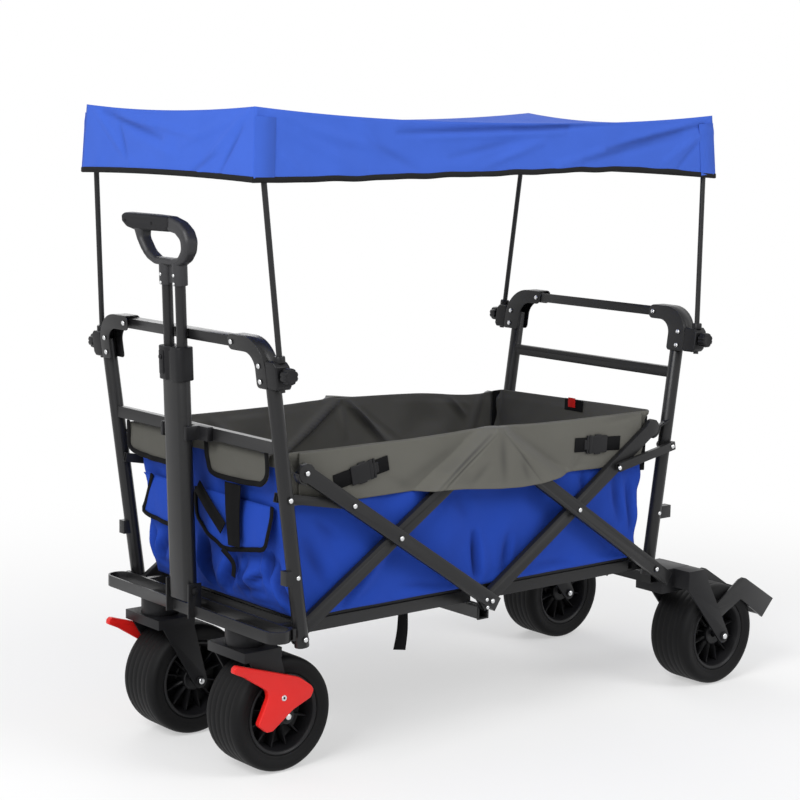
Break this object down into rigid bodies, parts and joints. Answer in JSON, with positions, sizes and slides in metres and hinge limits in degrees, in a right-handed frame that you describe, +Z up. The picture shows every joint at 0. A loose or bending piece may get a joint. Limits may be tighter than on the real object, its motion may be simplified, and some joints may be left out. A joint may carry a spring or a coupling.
{
  "type": "folding camping cart",
  "caption": "Folding wagon with a fabric tub on a scissor side frame, a canopy on thin poles, a telescopic pull handle, wide wheels and foot brakes.",
  "frame": {"origin": "bottom centre of the bounding box, on the floor", "axes": "+Z up, +X towards the rear wheels, -X the pull handle's end, -Y the cart's left side"},
  "size_m": [1.2752, 0.5986, 1.1137],
  "materials": {
    "coated_steel": "satin powder coat",
    "black_plastic": "fine grain",
    "red_plastic": "satin",
    "tyre_rubber": "matte",
    "tub_fabric": "woven polyester",
    "canopy_fabric": "woven polyester",
    "floor_board": "board in black cloth"
  },
  "bodies": {
    "front": {"front_frame": "coated_steel", "front_top_bar": "coated_steel", "front_elbow_l": "coated_steel", "front_elbow_r": "coated_steel", "front_base": "coated_steel", "handle_clip": "black_plastic", "caster_housing_l": "black_plastic", "caster_housing_r": "black_plastic", "tub": "tub_fabric"},
    "pull_handle": {"pull_tube_outer": "coated_steel", "pull_collar": "black_plastic"},
    "pull_grip": {"pull_tubes_inner": "coated_steel", "handle_grip": "black_plastic"},
    "arms_a": {"arm_a_l": "coated_steel", "arm_a_r": "coated_steel"},
    "arms_b": {"arm_b_l": "coated_steel", "arm_b_r": "coated_steel"},
    "arms_c": {"arm_c_l": "coated_steel", "arm_c_r": "coated_steel"},
    "arms_d": {"arm_d_l": "coated_steel", "arm_d_r": "coated_steel", "centre_tube": "coated_steel"},
    "links_front": {"link_front_l": "coated_steel", "link_front_r": "coated_steel"},
    "links_rear": {"link_rear_l": "coated_steel", "link_rear_r": "coated_steel"},
    "floor_front": {"front_floor_frame": "coated_steel", "front_floor_board": "floor_board"},
    "floor_rear": {"rear_floor_frame": "coated_steel", "rear_floor_board": "floor_board"},
    "rear": {"rear_frame": "coated_steel", "rear_top_bar": "coated_steel", "rear_elbow_l": "coated_steel", "rear_elbow_r": "coated_steel", "rear_fork_l": "black_plastic", "rear_fork_r": "black_plastic"},
    "canopy": {"canopy": "canopy_fabric"},
    "caster_l": {"caster_fork_l": "black_plastic"},
    "front_wheel_l": {"front_wheel_l_tyre": "tyre_rubber", "front_wheel_l_rim": "black_plastic"},
    "front_brake_l": {"brake_lever_l": "red_plastic"},
    "rear_wheel_l": {"rear_wheel_l_tyre": "tyre_rubber", "rear_wheel_l_rim": "black_plastic"},
    "rear_brake_l": {"rear_brake_pedal_l": "coated_steel"},
    "caster_r": {"caster_fork_r": "black_plastic"},
    "front_wheel_r": {"front_wheel_r_tyre": "tyre_rubber", "front_wheel_r_rim": "black_plastic"},
    "front_brake_r": {"brake_lever_r": "red_plastic"},
    "rear_wheel_r": {"rear_wheel_r_tyre": "tyre_rubber", "rear_wheel_r_rim": "black_plastic"},
    "rear_brake_r": {"rear_brake_pedal_r": "coated_steel"},
    "body_pole_front_l": {"pole_front_l": "coated_steel"},
    "body_knob_front_l": {"knob_front_l": "black_plastic"},
    "body_pole_front_r": {"pole_front_r": "coated_steel"},
    "body_knob_front_r": {"knob_front_r": "black_plastic"},
    "body_pole_rear_l": {"pole_rear_l": "coated_steel"},
    "body_knob_rear_l": {"knob_rear_l": "black_plastic"},
    "body_pole_rear_r": {"pole_rear_r": "coated_steel"},
    "body_knob_rear_r": {"knob_rear_r": "black_plastic"}
  },
  "joints": [
    {"name": "fold", "type": "hinge", "parent": "front", "child": "arms_b", "pos_m": [-0.53341, 0, 0.252], "axis": [0, -1, 0], "range_deg": [0, 30], "deforming": ["tub", "canopy"]},
    {"name": "arms_a_turn", "type": "hinge", "parent": "arms_b", "child": "arms_a", "pos_m": [-0.32091, 0, 0.392], "axis": [0, -1, 0], "range_deg": [-60, 0]},
    {"name": "arms_c_turn", "type": "hinge", "parent": "arms_b", "child": "arms_c", "pos_m": [-0.10841, 0, 0.532], "axis": [0, -1, 0], "range_deg": [-60, 0]},
    {"name": "arms_d_turn", "type": "hinge", "parent": "arms_c", "child": "arms_d", "pos_m": [0.10409, 0, 0.392], "axis": [0, -1, 0], "range_deg": [0, 60]},
    {"name": "rear_frame_turn", "type": "hinge", "parent": "arms_c", "child": "rear", "pos_m": [0.31659, 0, 0.252], "axis": [0, -1, 0], "range_deg": [0, 30]},
    {"name": "links_front_turn", "type": "hinge", "parent": "front", "child": "links_front", "pos_m": [-0.56666, 0, 0.487], "axis": [0, -1, 0], "range_deg": [0, 61.5]},
    {"name": "links_rear_turn", "type": "hinge", "parent": "rear", "child": "links_rear", "pos_m": [0.34984, 0, 0.487], "axis": [0, -1, 0], "range_deg": [-61.5, 0]},
    {"name": "floor_front_turn", "type": "hinge", "parent": "front", "child": "floor_front", "pos_m": [-0.53341, 0, 0.252], "axis": [0, -1, 0], "range_deg": [0, 81]},
    {"name": "floor_rear_turn", "type": "hinge", "parent": "rear", "child": "floor_rear", "pos_m": [0.31659, 0, 0.252], "axis": [0, -1, 0], "range_deg": [-81, 0]},
    {"name": "handle_tilt", "type": "hinge", "parent": "front", "child": "pull_handle", "pos_m": [-0.59991, 0, 0.298], "axis": [0, -1, 0], "range_deg": [0, 100]},
    {"name": "handle_extend", "type": "slide", "parent": "pull_handle", "child": "pull_grip", "axis": [-0.0389, 0, 0.9992], "range_m": [0, 0.33]},
    {"name": "caster_swivel_l", "type": "hinge", "parent": "front", "child": "caster_l", "pos_m": [-0.56341, -0.13, 0.222], "axis": [0, 0, 1], "continuous": true},
    {"name": "front_wheel_spin_l", "type": "hinge", "parent": "caster_l", "child": "front_wheel_l", "pos_m": [-0.51341, -0.13, 0.1], "axis": [0, 1, 0], "continuous": true},
    {"name": "front_brake_turn_l", "type": "hinge", "parent": "caster_l", "child": "front_brake_l", "pos_m": [-0.53241, -0.1948, 0.139], "axis": [0, -1, 0], "range_deg": [0, 20]},
    {"name": "rear_wheel_spin_l", "type": "hinge", "parent": "rear", "child": "rear_wheel_l", "pos_m": [0.48519, -0.216, 0.1], "axis": [0, 1, 0], "continuous": true},
    {"name": "rear_brake_turn_l", "type": "hinge", "parent": "rear", "child": "rear_brake_l", "pos_m": [0.46858, -0.216, 0.152], "axis": [0, 1, 0], "range_deg": [0, 22]},
    {"name": "caster_swivel_r", "type": "hinge", "parent": "front", "child": "caster_r", "pos_m": [-0.56341, 0.13, 0.222], "axis": [0, 0, 1], "continuous": true},
    {"name": "front_wheel_spin_r", "type": "hinge", "parent": "caster_r", "child": "front_wheel_r", "pos_m": [-0.51341, 0.13, 0.1], "axis": [0, 1, 0], "continuous": true},
    {"name": "front_brake_turn_r", "type": "hinge", "parent": "caster_r", "child": "front_brake_r", "pos_m": [-0.53241, 0.1948, 0.139], "axis": [0, -1, 0], "range_deg": [0, 20]},
    {"name": "rear_wheel_spin_r", "type": "hinge", "parent": "rear", "child": "rear_wheel_r", "pos_m": [0.48519, 0.216, 0.1], "axis": [0, 1, 0], "continuous": true},
    {"name": "rear_brake_turn_r", "type": "hinge", "parent": "rear", "child": "rear_brake_r", "pos_m": [0.46858, 0.216, 0.152], "axis": [0, 1, 0], "range_deg": [0, 22]},
    {"name": "pole_front_l_slide", "type": "slide", "parent": "front", "child": "body_pole_front_l", "axis": [0.0732, -0.0622, -0.9954], "range_m": [0, 0.25]},
    {"name": "knob_front_l_turn", "type": "hinge", "parent": "front", "child": "body_knob_front_l", "pos_m": [-0.59491, -0.2793, 0.694], "axis": [0, 1, 0], "continuous": true},
    {"name": "pole_front_r_slide", "type": "slide", "parent": "front", "child": "body_pole_front_r", "axis": [0.0732, 0.0622, -0.9954], "range_m": [0, 0.25]},
    {"name": "knob_front_r_turn", "type": "hinge", "parent": "front", "child": "body_knob_front_r", "pos_m": [-0.59491, 0.2793, 0.694], "axis": [0, 1, 0], "continuous": true},
    {"name": "pole_rear_l_slide", "type": "slide", "parent": "rear", "child": "body_pole_rear_l", "axis": [-0.0732, -0.0622, -0.9954], "range_m": [0, 0.25]},
    {"name": "knob_rear_l_turn", "type": "hinge", "parent": "rear", "child": "body_knob_rear_l", "pos_m": [0.37809, -0.2793, 0.694], "axis": [0, 1, 0], "continuous": true},
    {"name": "pole_rear_r_slide", "type": "slide", "parent": "rear", "child": "body_pole_rear_r", "axis": [-0.0732, 0.0622, -0.9954], "range_m": [0, 0.25]},
    {"name": "knob_rear_r_turn", "type": "hinge", "parent": "rear", "child": "body_knob_rear_r", "pos_m": [0.37809, 0.2793, 0.694], "axis": [0, 1, 0], "continuous": true},
    {"name": "canopy_lift", "type": "slide", "parent": "front", "child": "canopy", "axis": [0, 0, 1], "range_m": [0, 0.2]}
  ],
  "couplings": [
    {"joint": "arms_a_turn", "follows": "fold", "ratio": -2},
    {"joint": "arms_c_turn", "follows": "fold", "ratio": -2},
    {"joint": "arms_d_turn", "follows": "fold", "ratio": 2},
    {"joint": "rear_frame_turn", "follows": "fold", "ratio": 1},
    {"joint": "links_front_turn", "follows": "fold", "ratio": 2.05},
    {"joint": "links_rear_turn", "follows": "fold", "ratio": -2.05},
    {"joint": "floor_front_turn", "follows": "fold", "ratio": 2.7},
    {"joint": "floor_rear_turn", "follows": "fold", "ratio": -2.7}
  ]
}
